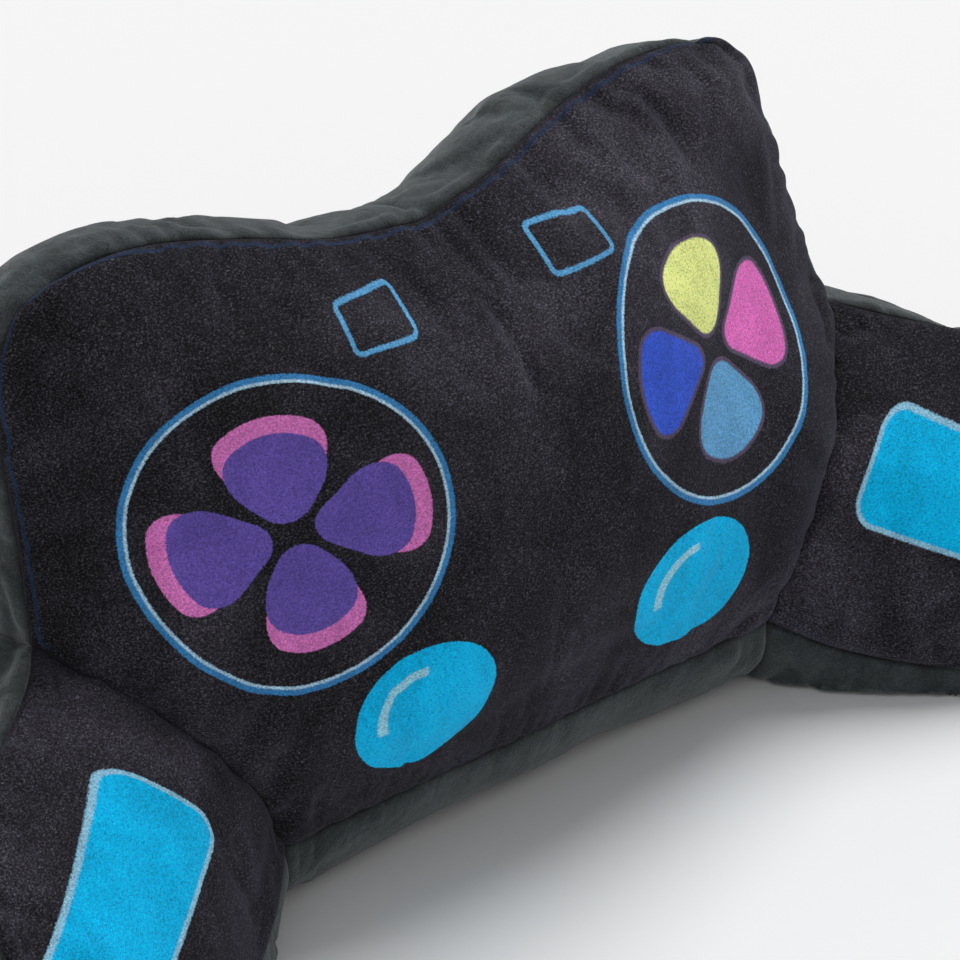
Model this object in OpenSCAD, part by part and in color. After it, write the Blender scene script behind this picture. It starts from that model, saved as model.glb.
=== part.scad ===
// Stuffed backrest pillow in the shape of a game controller, with two splayed arms.
// Millimetres, +Z up, +Y towards the back. The origin is on the floor, in the middle of the outline.

/* [Back] */
// Half of the length of the front panel's bottom seam
base_half = 170; // [160:1:180]
// Half of the front panel's width at the waist, where the arms' top seams start
waist_half = 274; // [264:1:284]
// Height of the waist up the leaning panel
waist_up = 153; // [146:1:160]
// Height of the two humps up the leaning panel
hump_up = 338; // [330:1:346]
// Height of the dip between the humps up the leaning panel
dip_up = 296; // [288:1:304]
// Backward lean of the front panel, in degrees
lean = 21; // [17:1:25]
// Height of the bottom front seam above the floor
seam_lift = 47; // [44:1:50]
// How far the middle of the front panel stands forward of its seams
front_crown = 81; // [70:1:88]
// How far the middle of the back panel stands behind its seams
back_crown = 45; // [30:1:55]
// Width of the gusset between the front and back seams at the base
base_depth = 165; // [155:1:175]
// Width of the gusset between the front and back seams at the waist
waist_depth = 143; // [138:1:148]
// Width of the gusset between the front and back seams at the dip and the humps
top_depth = 68; // [60:1:90]
// How far the top gusset stands proud of its seams
gusset_crown = 6; // [3:1:14]

/* [Arms] */
// Angle between the width of the back and the run of an arm, in degrees
arm_angle = 42; // [38:1:46]
// How far an arm's inner panel stands proud of its seams
arm_crown = 16; // [10:1:26]
// How far an arm's outer panel stands proud of its seams
arm_outer_crown = 16; // [8:1:22]
// How far an arm's gusset stands proud of its seams
arm_gusset_crown = 8; // [5:1:14]
// Angle either way by which the gap at an arm's root opens from its hinge line, in degrees
gap_angle = 8; // [6:1:9]
// Smallest gap between an arm's root and the back
root_gap = 3; // [2:0.5:5]

/* [Cloth] */
// Thickness of the plush cover
cloth = 2.4; // [1.5:0.1:3]
// Gap between the cover and the filling
slip = 0.5; // [0.3:0.1:1]

/* [Zip] */
// Length of the zip between its stops
zip_length = 280; // [240:2:300]
// Width of each zip tape
tape_width = 13; // [11:0.5:13]
// Pitch of the teeth along each tape
tooth_pitch = 4; // [3:0.5:6]
// Length of the slider
slider_length = 13; // [11:0.5:16]
// Length of the pull
pull_length = 26; // [20:1:32]

/* [Label] */
// Width of the sewn-in label, which is blank
label_width = 32; // [24:1:40]
// Length of the label outside the seam
label_length = 16; // [12:1:18]
// Place of the label's left edge along the zip
label_x = -120; // [-135:1:95]

/* [Hidden] */
// Distance from the bottom front seam to the middle of the outline, front to back
seam_to_middle = 67.3;
// How far the back seam stands above the front seam at the base, and below it from full_drop_up on
base_rise = 2;
top_drop = 50;
full_drop_up = 200;
// Share of the front seam's waviness that the back seam has
back_wave = 0.4;
// How far up the panel the crowns' middles are, and how far the back's middle sinks below its plane
front_middle_up = 175;
back_middle_up = 165;
back_middle_drop = 6;
// Crown exponent of the back panel and the arms' panels: higher is flatter in the middle
plain_crown = 2.4;
// How quickly a gusset's bulge rises from its seams
bulge_power = 0.8;
// Steps round half of the back's outline: bottom, arm junction, and waist to dip
bottom_steps = 5;
junction_steps = 7;
top_steps = 17;
half_steps = bottom_steps + junction_steps + top_steps;
corner_k = bottom_steps;
waist_k = bottom_steps + junction_steps;
loop_size = 2 * half_steps;
// Shares of the way from a panel's middle to its seam
panel_rows = [0.22, 0.44, 0.64, 0.8, 0.92];
// Share of the base's section that the first point past its corner keeps
corner_lift = 0.45;
// Steps above the waist over which the top gusset's bulge comes in
crown_steps = 3;
// Shares of the way from the front seam to the back seam
gusset_rows = [0.06, 0.14, 0.23, 0.34, 0.5, 0.68, 0.84];
// Section of the gusset under the base, [back from the front seam, height], front seam to zip
base_section = [[-4, 35], [-3, 22], [6, 9], [24, 0], [base_depth / 2, 0], [base_depth - 27, 0],
                [base_depth, 21]];
// Height of the middle of the zip above the floor
zip_z = 35;
// Where the arms' hinge lines stand in plan
hinge_x = 222;
hinge_y = 108;
// Steps round each arm's U-shaped outline
arm_steps = 18;
// How far an arm's gusset sags to the floor, and the height from which it no longer does
gusset_sag = 26;
gusset_clear = 34;
// Height of the floor
floor_z = 0;
// How far a gusset's cloth stops short of its rear seam
seam_clear = 2;

// ---------- vectors and curves ----------
function mix(a, b, t) = a + (b - a) * t;
function unit(v) = v / max(norm(v), 1e-9);
function sum(list) = list * [for (v = list) 1];
function smooth(t) = t * t * (3 - 2 * t);
function reversed(list) = [for (i = [len(list) - 1:-1:0]) list[i]];

// One Catmull-Rom span from b to c
function span(a, b, c, d, t) =
    0.5 * (2 * b + (c - a) * t + (2 * a - 5 * b + 4 * c - d) * t * t
           + (3 * b - a - 3 * c + d) * t * t * t);

// A point at share t of a curve that passes through every point of the list
function along(points, t) =
    let (n = len(points) - 1, s = min(t, 0.99999) * n, i = floor(s),
         b = points[i], c = points[i + 1],
         a = i > 0 ? points[i - 1] : 2 * b - c,
         d = i + 2 <= n ? points[i + 2] : 2 * c - b)
    span(a, b, c, d, s - i);

// ---------- outline of the back ----------
// Each point is [half width, up the panel, forward of the seam plane, crown exponent]
corner = [base_half, 0, 0, 2.2];
waist = [waist_half, waist_up, -22, 1.8];
junction = [corner,
            [mix(base_half, waist_half, 0.25), waist_up * 0.34, 21, 2.0],
            [mix(base_half, waist_half, 0.6), waist_up * 0.67, 15, 1.9],
            waist];
flank = [waist,
         [waist_half - 8, mix(waist_up, hump_up, 0.28), -24, 1.8],
         [waist_half - 13, mix(waist_up, hump_up, 0.6), -23, 1.8],
         [waist_half - 19, hump_up - 38, -19, 2.0],
         [waist_half - 40, hump_up - 14, -14, 2.4],
         [waist_half - 78, hump_up - 1, -8, 2.8],
         [waist_half - 118, hump_up - 2, -4, 3.0],
         [105, mix(dip_up, hump_up, 0.62), 0, 3.0],
         [52, mix(dip_up, hump_up, 0.2), 5, 3.0],
         [0, dip_up, 9, 3.0]];

function half_outline(k) =
    k <= corner_k ? mix([0, 0, 0, 2.2], corner, k / bottom_steps)
    : k <= waist_k ? along(junction, (k - corner_k) / junction_steps)
    : along(flank, (k - waist_k) / top_steps);

function outline(k) =
    let (i = (k + loop_size) % loop_size)
    i <= half_steps ? half_outline(i)
    : let (p = half_outline(loop_size - i)) [-p[0], p[1], p[2], p[3]];

// A point on the leaning panel's frame, in the object's frame
function lean_point(x, up, forward) =
    [x, up * sin(lean) - forward * cos(lean) - seam_to_middle,
     seam_lift + up * cos(lean) + forward * sin(lean)];

function front_seam(k) = let (p = outline(k)) lean_point(p[0], p[1], p[2]);

// Width of the gusset at a height up the panel: it narrows quickly between the waist and the dip
function gusset_depth(up) =
    up <= waist_up ? mix(base_depth, waist_depth, up / waist_up)
    : mix(waist_depth, top_depth, smooth(min((up - waist_up) / (dip_up - waist_up), 1)));

// The gusset's run from the front seam to the back seam, at a height up the panel
function gusset_run(up) =
    [0, gusset_depth(up), base_rise - (base_rise + top_drop) * sin(min(up / full_drop_up, 1) * 90)];

function back_seam(k) =
    let (p = outline(k))
    lean_point(p[0], p[1], p[2] * back_wave) + gusset_run(p[1]);

// Outward direction of the outline at a point, in the leaning plane
function outward(k) =
    let (a = outline(k - 1), b = outline(k + 1), d = [b[0] - a[0], b[1] - a[1]])
    let (n = unit([d[1], -d[0]]))
    [n[0], n[1] * sin(lean), n[1] * cos(lean)];

// ---------- surfaces ----------
// From a crown's middle to a seam: even across the panel, and rolling over towards the seam
function crown_point(middle, seam, normal, share, exponent) =
    let (d = seam - middle, drop = (d * normal) * normal)
    middle + (d - drop) * share + drop * pow(share, exponent);

function lifted(p) = [p[0], p[1], max(p[2], floor_z)];

panel_normal = [0, -cos(lean), sin(lean)];
front_middle = lean_point(0, front_middle_up, front_crown);
back_middle = lean_point(0, back_middle_up, 0) + gusset_run(back_middle_up)
              + [0, back_crown, -back_middle_drop];
back_normal = [0, 1, 0];

// 1 along the base, where the gusset lies on the floor, and nearly half one step past its corner
function on_base(k) =
    let (i = min(k, loop_size - k)) i <= corner_k ? 1 : i == corner_k + 1 ? corner_lift : 0;
// 0 along the base and the arms, rising to 1 over a few steps above the waist
function crowned(k) =
    let (i = min(k, loop_size - k)) i <= waist_k ? 0 : smooth(min((i - waist_k) / crown_steps, 1));

function base_point(k, j) =
    [outline(k)[0], base_section[j][0] - seam_to_middle, base_section[j][1]];

function gusset_point(k, j) =
    let (v = gusset_rows[j],
         flat = mix(front_seam(k), back_seam(k), v),
         round = flat + outward(k) * gusset_crown * crowned(k) * pow(sin(180 * v), bulge_power))
    lifted(mix(round, base_point(k, j) + [0, front_seam(k)[1] + seam_to_middle, 0], on_base(k)));

function front_row(share) =
    [for (k = [0:loop_size - 1])
        crown_point(front_middle, front_seam(k), panel_normal, share, outline(k)[3])];
function back_row(share) =
    [for (k = [0:loop_size - 1]) crown_point(back_middle, back_seam(k), back_normal, share, plain_crown)];
function gusset_row(j) = [for (k = [0:loop_size - 1]) gusset_point(k, j)];

// Every row of the back, from the middle of the front to the middle of the back
back_rows = concat(
    [for (s = panel_rows) front_row(s)],
    [front_row(1)],
    [for (j = [0:len(gusset_rows) - 1]) gusset_row(j)],
    [back_row(1)],
    [for (s = reversed(panel_rows)) back_row(s)]);
front_seam_row = len(panel_rows);
back_seam_row = front_seam_row + len(gusset_rows) + 1;
last_row = len(back_rows) - 1;

// ---------- arms ----------
// Points of the arm's frame: along the arm, out across it, height
function arm_point(p) =
    [p[0] * cos(arm_angle) + p[1] * sin(arm_angle),
     -p[0] * sin(arm_angle) + p[1] * cos(arm_angle) - seam_to_middle, p[2]];

// Gap at an arm's root, wide enough for its swing about the hinge
function root_shift(p) =
    [root_gap + abs(p[1] + seam_to_middle - hinge_y) * tan(gap_angle), 0, 0];

// The U of each panel's seam in the arm's frame, from the foot round the tip to the waist
inner_u = [[172, 114, 29], [240, 117, 17], [305, 131, 20], [336, 154, 36], [343, 184, 66],
           [330, 212, 104], [300, 232, 133], [250, 242, 157], [184, 236, 176]];
outer_u = [[80, 224, 12], [170, 211, 9], [270, 212, 11], [318, 228, 19], [334, 254, 38],
           [318, 284, 66], [268, 312, 92], [190, 336, 116], [100, 346, 136]];

arm_root = [for (k = [waist_k:-1:corner_k]) k];
function root_front(k) = front_seam(k) + root_shift(front_seam(k));
function root_back(k) =
    let (b = k == corner_k ? base_point(corner_k, len(gusset_rows) - 1) : back_seam(k))
    b + root_shift(b);

// The arm's inner and outer outlines: down the root, then round the U back to the waist
arm_inner = concat(
    [for (k = arm_root) root_front(k)],
    [for (i = [1:arm_steps - 1])
        along(concat([root_front(corner_k)], [for (p = inner_u) arm_point(p)],
                     [root_front(waist_k)]), i / arm_steps)]);
arm_outer = concat(
    [for (k = arm_root) root_back(k)],
    [for (i = [1:arm_steps - 1])
        along(concat([root_back(corner_k)], [for (p = outer_u) arm_point(p)],
                     [root_back(waist_k)]), i / arm_steps)]);
arm_size = len(arm_inner);
// Middle of an outline, and the normal of the plane through its foot, tip and waist
function middle(points) = [for (i = [0:2]) sum([for (p = points) p[i]]) / len(points)];
arm_tip = junction_steps + arm_steps / 2;
function tilt(points) =
    unit(cross(points[arm_tip] - points[junction_steps], points[0] - points[arm_tip]));
inner_normal = tilt(arm_inner);
outer_normal = -tilt(arm_outer);
arm_inner_top = middle(arm_inner) + inner_normal * arm_crown;
arm_outer_top = middle(arm_outer) + outer_normal * arm_outer_crown;

function arm_out(k) =
    let (a = arm_inner[(k + arm_size - 1) % arm_size], b = arm_inner[(k + 1) % arm_size])
    unit(cross(b - a, inner_normal));
// 0 at the arm's root, rising to 1 over two steps
function arm_round(k) = k <= junction_steps ? 0 : min(1, (k - junction_steps) / 2, (arm_size - k) / 2);
// 1 at the floor, falling to 0 at the height where an arm's gusset clears it
function near_floor(z) = max(0, 1 - z / gusset_clear);
function arm_gusset_point(k, j) =
    let (v = gusset_rows[j], p = mix(arm_inner[k], arm_outer[k], v))
    lifted(p + arm_out(k) * arm_gusset_crown * arm_round(k) * pow(sin(180 * v), bulge_power)
           - [0, 0, gusset_sag * arm_round(k) * sin(180 * v) * near_floor(p[2])]);

arm_rows = concat(
    [for (s = panel_rows)
        [for (p = arm_inner) crown_point(arm_inner_top, p, inner_normal, s, plain_crown)]],
    [arm_inner],
    [for (j = [0:len(gusset_rows) - 1]) [for (k = [0:arm_size - 1]) arm_gusset_point(k, j)]],
    [arm_outer],
    [for (s = reversed(panel_rows))
        [for (p = arm_outer) lifted(crown_point(arm_outer_top, p, outer_normal, s, plain_crown))]]);

// ---------- closed solids from rows of points ----------
// Unit normal at each point of a set of closed rows, pointing out
function row_normals(rows, front, back) =
    [for (r = [0:len(rows) - 1]) let (n = len(rows[r]))
        [for (k = [0:n - 1])
            let (up = r == 0 ? front : rows[r - 1][k],
                 down = r == len(rows) - 1 ? back : rows[r + 1][k],
                 left = rows[r][(k + n - 1) % n], right = rows[r][(k + 1) % n])
            unit(cross(right - left, up - down))]];

function inset_rows(rows, normals, depth) =
    [for (r = [0:len(rows) - 1])
        [for (k = [0:len(rows[r]) - 1]) rows[r][k] - normals[r][k] * depth]];

back_normals = row_normals(back_rows, front_middle, back_middle);
arm_normals = row_normals(arm_rows, arm_inner_top, arm_outer_top);
back_inner = inset_rows(back_rows, back_normals, cloth);
arm_lining = inset_rows(arm_rows, arm_normals, cloth);

function flat_list(rows) = [for (row = rows) for (p = row) p];

// Two triangles between neighbouring points of two rows
function quad(a, b, c, d) = [[a, b, c], [a, c, d]];

// A closed body from closed rows and a pole at each end
module closed_body(rows, front, back) {
    n = len(rows[0]);
    m = len(rows);
    points = concat(flat_list(rows), [front, back]);
    sides = [for (r = [0:m - 2]) for (k = [0:n - 1])
        each quad(r * n + k, r * n + (k + 1) % n, (r + 1) * n + (k + 1) % n, (r + 1) * n + k)];
    caps = [for (k = [0:n - 1])
        each [[m * n, (k + 1) % n, k], [m * n + 1, (m - 1) * n + k, (m - 1) * n + (k + 1) % n]]];
    polyhedron(points, concat(sides, caps));
}

// A cloth cap from a pole to its seam row, between an outer and an inner face
module cloth_cap(outer, inner, outer_pole, inner_pole) {
    n = len(outer[0]);
    m = len(outer);
    first = m * n + 1;
    points = concat(flat_list(outer), [outer_pole], flat_list(inner), [inner_pole]);
    skins = [for (r = [0:m - 2]) for (k = [0:n - 1]) let (e = (k + 1) % n)
        each concat(quad(r * n + k, r * n + e, (r + 1) * n + e, (r + 1) * n + k),
                    quad(first + r * n + k, first + (r + 1) * n + k,
                         first + (r + 1) * n + e, first + r * n + e))];
    poles = [for (k = [0:n - 1]) let (e = (k + 1) % n)
        each [[m * n, e, k], [first + m * n, first + k, first + e]]];
    rim = [for (k = [0:n - 1]) let (e = (k + 1) % n, o = (m - 1) * n)
        each quad(o + k, o + e, first + o + e, first + o + k)];
    polyhedron(points, concat(skins, poles, rim));
}

// An open strip of cloth between an outer and an inner grid of the same size
module cloth_strip(outer, inner) {
    m = len(outer);
    n = len(outer[0]);
    first = m * n;
    points = concat(flat_list(outer), flat_list(inner));
    skins = [for (r = [0:m - 2]) for (k = [0:n - 2])
        each concat(quad(r * n + k, r * n + k + 1, (r + 1) * n + k + 1, (r + 1) * n + k),
                    quad(first + r * n + k, first + (r + 1) * n + k,
                         first + (r + 1) * n + k + 1, first + r * n + k + 1))];
    ends = [for (r = [0:m - 2])
        each concat(quad(r * n, (r + 1) * n, first + (r + 1) * n, first + r * n),
                    quad(r * n + n - 1, first + r * n + n - 1, first + (r + 1) * n + n - 1,
                         (r + 1) * n + n - 1))];
    edges = [for (k = [0:n - 2]) let (o = (m - 1) * n)
        each concat(quad(k, first + k, first + k + 1, k + 1),
                    quad(o + k, o + k + 1, first + o + k + 1, first + o + k))];
    polyhedron(points, concat(skins, ends, edges));
}

// The rows with the last one drawn back from its seam, so that two panels' cloth doesn't overlap there
function drawn_back(rows) =
    let (m = len(rows) - 1)
    [for (r = [0:m]) r < m ? rows[r]
        : [for (k = [0:len(rows[m]) - 1]) rows[m][k] + unit(rows[m - 1][k] - rows[m][k]) * seam_clear]];

// Part of a grid: rows from r0 to r1, and points from k0 on, going round the closed row
function part_grid(rows, r0, r1, k0, count) =
    [for (r = [r0:r1]) let (n = len(rows[r])) [for (i = [0:count]) rows[r][(k0 + i + n) % n]]];

// ---------- the back's pieces ----------
plush_black = "#26242a";
plush_grey = "#3b4144";

module back_fill() {
    d = cloth + slip;
    rows = inset_rows(back_rows, back_normals, d);
    color("whitesmoke")
    closed_body([for (row = rows) [for (p = row) [p[0], p[1], max(p[2], d)]]],
                front_middle - panel_normal * d, back_middle - back_normal * d);
}

module front_panel() {
    color(plush_black)
    cloth_cap([for (r = [0:front_seam_row]) back_rows[r]], [for (r = [0:front_seam_row]) back_inner[r]],
              front_middle, front_middle - panel_normal * cloth);
}

module back_panel() {
    rows = [for (r = [last_row:-1:back_seam_row]) reversed(back_rows[r])];
    inner = [for (r = [last_row:-1:back_seam_row]) reversed(back_inner[r])];
    color(plush_grey)
    cloth_cap(rows, inner, back_middle, back_middle - back_normal * cloth);
}

// The strip over both humps, from waist to waist
module top_gusset() {
    count = 2 * top_steps;
    color(plush_grey)
    cloth_strip(drawn_back(part_grid(back_rows, front_seam_row, back_seam_row, waist_k, count)),
                drawn_back(part_grid(back_inner, front_seam_row, back_seam_row, waist_k, count)));
}

// The strip under the base, which lies on the floor and ends under the zip
module bottom_gusset() {
    last = back_seam_row - 1;
    k0 = loop_size - corner_k;
    inner = [for (row = part_grid(back_inner, front_seam_row, last, k0, 2 * corner_k))
        [for (p = row) [p[0], p[1], max(p[2], cloth)]]];
    color(plush_grey)
    cloth_strip(part_grid(back_rows, front_seam_row, last, k0, 2 * corner_k), inner);
}

// ---------- zip along the lower back seam ----------
zip_proud = 1.5;
zip_face = base_depth - seam_to_middle + zip_proud;
tape_thick = 0.8;
tape_past_stop = 10;
tape_gap = 0.15;
tooth_height = 1.8;
tooth_reach = 2.2;
tooth_share = 0.62;
stop_width = 4;
stop_groove = 1;
slider_wall = 0.9;
slider_air = 0.35;
slider_x = zip_length / 2 - stop_width - slider_length / 2 - 1;
slider_half = tooth_reach + slider_air + slider_wall;
slider_top = zip_face + tooth_height + slider_air + slider_wall;
nose_cut = 3;
lug_length = 4;
lug_thick = 1;
lug_out = 2.6;
lug_reach = 3.2;
pin_r = 0.6;
pin_length = 5.4;
pin_y = slider_top + lug_reach - 1.4;
pull_thick = 1.2;
pull_width = 6;
neck_width = 3.6;
neck_length = 7;
eye_r = 1.3;
eye_slip = 0.06;
hang_hole_r = 1.6;
hang_hole_in = 5;

// One tape: a flat strip with its outer face at the zip's face
module zip_tape(side) {
    color("#2b2c31")
    translate([-zip_length / 2 - tape_past_stop, zip_face - tape_thick,
               side > 0 ? zip_z + tape_gap : zip_z - tape_width])
    cube([zip_length + 2 * tape_past_stop, tape_thick, tape_width - tape_gap]);
}

// One row of moulded teeth, standing on its tape and half a pitch from the other row's
module zip_teeth(side) {
    first = stop_width + tooth_pitch / 2;
    count = floor((zip_length - 2 * first) / tooth_pitch);
    start = -zip_length / 2 + first + (side > 0 ? 0 : tooth_pitch / 2);
    color("#17181b")
    for (i = [0:count - 1])
        translate([start + i * tooth_pitch, zip_face, side > 0 ? zip_z + tape_gap : zip_z - tooth_reach])
        cube([tooth_pitch * tooth_share, tooth_height, tooth_reach - tape_gap]);
}

// A block clamped across both tapes at an end of the teeth, with a groove down its face
module zip_stop(end) {
    color("silver")
    translate([end * (zip_length / 2 - stop_width / 2), zip_face + tooth_height / 2, zip_z])
    difference() {
        cube([stop_width, tooth_height, 2 * tooth_reach + 1], center = true);
        translate([0, tooth_height / 2, 0]) cube([stop_groove, stop_groove, 2 * tooth_reach], center = true);
    }
}

// The slider: a plate over the teeth, a flange on each side of them, and a lug for the pull
module zip_slider() {
    base_y = zip_face + slider_air;
    color("silver")
    difference() {
        union() {
            translate([slider_x - slider_length / 2, slider_top - slider_wall, zip_z - slider_half])
            cube([slider_length, slider_wall, 2 * slider_half]);
            for (side = [-1, 1])
                translate([slider_x - slider_length / 2, base_y,
                           zip_z + side * (slider_half - slider_wall / 2) - slider_wall / 2])
                cube([slider_length, slider_top - base_y, slider_wall]);
            for (side = [-1, 1])
                translate([slider_x - lug_length / 2, slider_top - 0.1,
                           zip_z + side * lug_out - lug_thick / 2])
                cube([lug_length, lug_reach, lug_thick]);
            translate([slider_x, pin_y, zip_z])
            cylinder(r = pin_r, h = pin_length, center = true, $fn = 24);
        }
        for (end = [-1, 1])
            translate([slider_x + end * (slider_length / 2 + 0.4 * nose_cut), slider_top - slider_wall / 2,
                       zip_z - slider_half])
            rotate([0, 0, 45]) cube([nose_cut, nose_cut, 4 * slider_half], center = true);
    }
}

// The pull: a flat tab with an eye round the slider's pin, lying along the zip at rest
module zip_pull() {
    color("silver")
    translate([slider_x, pin_y, zip_z])
    difference() {
        union() {
            cylinder(r = eye_r, h = neck_width, center = true, $fn = 32);
            translate([-neck_length, -pull_thick / 2, -neck_width / 2])
            cube([neck_length, pull_thick, neck_width]);
            translate([-pull_length, -pull_thick / 2, -pull_width / 2])
            cube([pull_length - neck_length + 1, pull_thick, pull_width]);
        }
        cylinder(r = pin_r + eye_slip, h = 2 * pull_width, center = true, $fn = 32);
        translate([-pull_length + hang_hole_in, 0, 0]) rotate([90, 0, 0])
        cylinder(r = hang_hole_r, h = 2 * pull_width, center = true, $fn = 32);
    }
}

// A folded woven label that hangs from the seam below the zip's lower tape, with nothing on it
module care_label() {
    leaf_thick = 0.6;
    leaf_pitch = 0.9;
    seam_gap = 0.4;
    color("white")
    for (leaf = [0, 1])
        translate([label_x, zip_face - tape_thick + leaf * leaf_pitch,
                   zip_z - tape_width - seam_gap - label_length])
        cube([label_width, leaf_thick, label_length - leaf * leaf_thick]);
}

// ---------- the arms' pieces ----------
arm_front_row = len(panel_rows);
arm_back_row = arm_front_row + len(gusset_rows) + 1;
arm_last = len(arm_rows) - 1;

module on_side(side) {
    if (side > 0) children();
    else mirror([1, 0, 0]) children();
}

module arm_fill(side) {
    d = cloth + slip;
    rows = inset_rows(arm_rows, arm_normals, d);
    color("whitesmoke")
    on_side(side)
    closed_body([for (row = rows) [for (p = row) [p[0], p[1], max(p[2], d)]]],
                arm_inner_top - inner_normal * d, arm_outer_top - outer_normal * d);
}

module arm_inner_panel(side) {
    color(plush_black)
    on_side(side)
    cloth_cap([for (r = [0:arm_front_row]) arm_rows[r]], [for (r = [0:arm_front_row]) arm_lining[r]],
              arm_inner_top, arm_inner_top - inner_normal * cloth);
}

module arm_outer_panel(side) {
    rows = [for (r = [arm_last:-1:arm_back_row]) reversed(arm_rows[r])];
    inner = [for (r = [arm_last:-1:arm_back_row])
        [for (p = reversed(arm_lining[r])) [p[0], p[1], max(p[2], cloth)]]];
    color(plush_grey)
    on_side(side)
    cloth_cap(rows, inner, arm_outer_top, arm_outer_top - outer_normal * cloth);
}

// The strip round the arm's U, from the waist over the end to the bottom corner
module arm_gusset(side) {
    k0 = junction_steps;
    inner = [for (row = drawn_back(part_grid(arm_lining, arm_front_row, arm_back_row, k0, arm_steps)))
        [for (p = row) [p[0], p[1], max(p[2], cloth)]]];
    color(plush_grey)
    on_side(side)
    cloth_strip(drawn_back(part_grid(arm_rows, arm_front_row, arm_back_row, k0, arm_steps)), inner);
}

back_fill();
front_panel();
back_panel();
top_gusset();
bottom_gusset();
zip_tape(1);  // zip_tape_upper
zip_tape(-1);  // zip_tape_lower
zip_teeth(1);  // zip_teeth_upper
zip_teeth(-1);  // zip_teeth_lower
zip_stop(1);  // zip_top_stop
zip_stop(-1);  // zip_bottom_stop
zip_slider();
zip_pull();
care_label();
arm_fill(-1);  // left_arm_fill
arm_inner_panel(-1);  // left_arm_inner_panel
arm_outer_panel(-1);  // left_arm_outer_panel
arm_gusset(-1);  // left_arm_gusset
arm_fill(1);  // right_arm_fill
arm_inner_panel(1);  // right_arm_inner_panel
arm_outer_panel(1);  // right_arm_outer_panel
arm_gusset(1);  // right_arm_gusset
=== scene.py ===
import itertools
import math

import bpy
import numpy as np
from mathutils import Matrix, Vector


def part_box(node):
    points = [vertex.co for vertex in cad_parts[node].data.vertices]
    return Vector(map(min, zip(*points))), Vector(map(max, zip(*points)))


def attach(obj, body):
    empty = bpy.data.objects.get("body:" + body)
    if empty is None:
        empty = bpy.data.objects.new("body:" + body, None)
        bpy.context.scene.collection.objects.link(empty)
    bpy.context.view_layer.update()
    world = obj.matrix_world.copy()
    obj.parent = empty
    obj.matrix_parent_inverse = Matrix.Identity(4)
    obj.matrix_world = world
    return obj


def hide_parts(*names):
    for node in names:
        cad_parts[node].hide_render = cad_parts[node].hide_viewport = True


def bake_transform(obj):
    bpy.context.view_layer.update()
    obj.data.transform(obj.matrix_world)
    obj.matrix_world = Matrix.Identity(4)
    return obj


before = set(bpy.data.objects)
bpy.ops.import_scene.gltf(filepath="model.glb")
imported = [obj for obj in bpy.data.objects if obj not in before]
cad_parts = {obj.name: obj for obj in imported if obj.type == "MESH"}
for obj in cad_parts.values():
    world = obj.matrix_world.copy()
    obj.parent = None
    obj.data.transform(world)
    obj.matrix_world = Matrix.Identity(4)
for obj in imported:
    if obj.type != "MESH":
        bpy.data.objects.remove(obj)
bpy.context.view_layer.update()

MM = 0.001


def box_mm(node):
    low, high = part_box(node)
    return np.array(low) / MM, np.array(high) / MM


# ---------- sizes, in millimetres ----------
# Half widths of the front panel at its waist and at its base, and the height of its bottom seam
WAIST_HALF = box_mm("front_panel")[1][0]
BASE_HALF = box_mm("bottom_gusset")[1][0]
SEAM_LIFT = box_mm("bottom_gusset")[1][2]
LEAN = math.radians(21)
# Lengths up the front panel from its bottom seam
WAIST_UP = 153
HUMP_UP = 338
DIP_UP = 296
# Depths from the front seam to the back seam
BASE_DEPTH = 165
WAIST_DEPTH = 143
TOP_DEPTH = 68
# The back seam lies this far below the front seam from FULL_DROP_UP on, and above it at the base
TOP_DROP = 50
FULL_DROP_UP = 200
BASE_RISE = 2
# From the front panel's bottom seam back to the middle of the frame
SEAM_TO_MIDDLE = 67.3
ARM_ANGLE = math.radians(42)
# How far the top gusset stands proud, from the left waist over both humps to the right waist
TOP_BULGE = [[-270, 4], [-238, 22], [-130, 16], [0, 15], [100, 20], [165, 9], [235, 3]]
# The stuffing has settled in the right hump: how far, where it is in the middle, and how widely
SETTLED = {"depth": 9, "at": 195, "width": 60, "from_z": 270, "to_z": 350}
BULGE_POWER = 0.8
# The arms' gussets: how proud, how far their underside sags, and the height below which it sags
ARM_BULGE = 4
ARM_SAG = 26
ARM_FOOT = 34
INNER_CROWN = 8
OUTER_CROWN = 14
# The inner panels' crowns are widest below the middle
INNER_CROWN_LOW = 0.62

# Steps of the coarse grids that the cloth simulation moves, and how much finer the shown ones are
ACROSS_STEPS = 68
JUNCTION_STEPS = 26
FLANK_STEPS = 26
DEEP_STEPS = 18
ARM_STEPS = 34
FINER = 3
# How far the simulation may move each panel
SWELL_CAP = {"top_gusset": 2.5, "bottom_gusset": 1.5, "right_arm_gusset": 4, "left_arm_gusset": 4}
SWELL_CAP_ELSEWHERE = 6.0
CLOTH_THICK = 2
FLOOR_LIFT = 0.4

# The camera, in metres, radians and millimetres
CAMERA_AT = (-1.852, -2.356, 2.175)
CAMERA_TURN = math.radians(38.45)
CAMERA_DOWN = math.radians(33.69)
CAMERA_LENS = 248.4


# ---------- curves and grids ----------
def unit(v):
    return v / np.maximum(np.linalg.norm(v, axis=-1, keepdims=True), 1e-12)


def smooth(share):
    """A share from 0 to 1 that eases in and out."""
    share = np.clip(share, 0, 1)
    return share * share * (3 - 2 * share)


def mirrored(points):
    out = np.array(points, float)
    out[..., 0] *= -1
    return out


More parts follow.
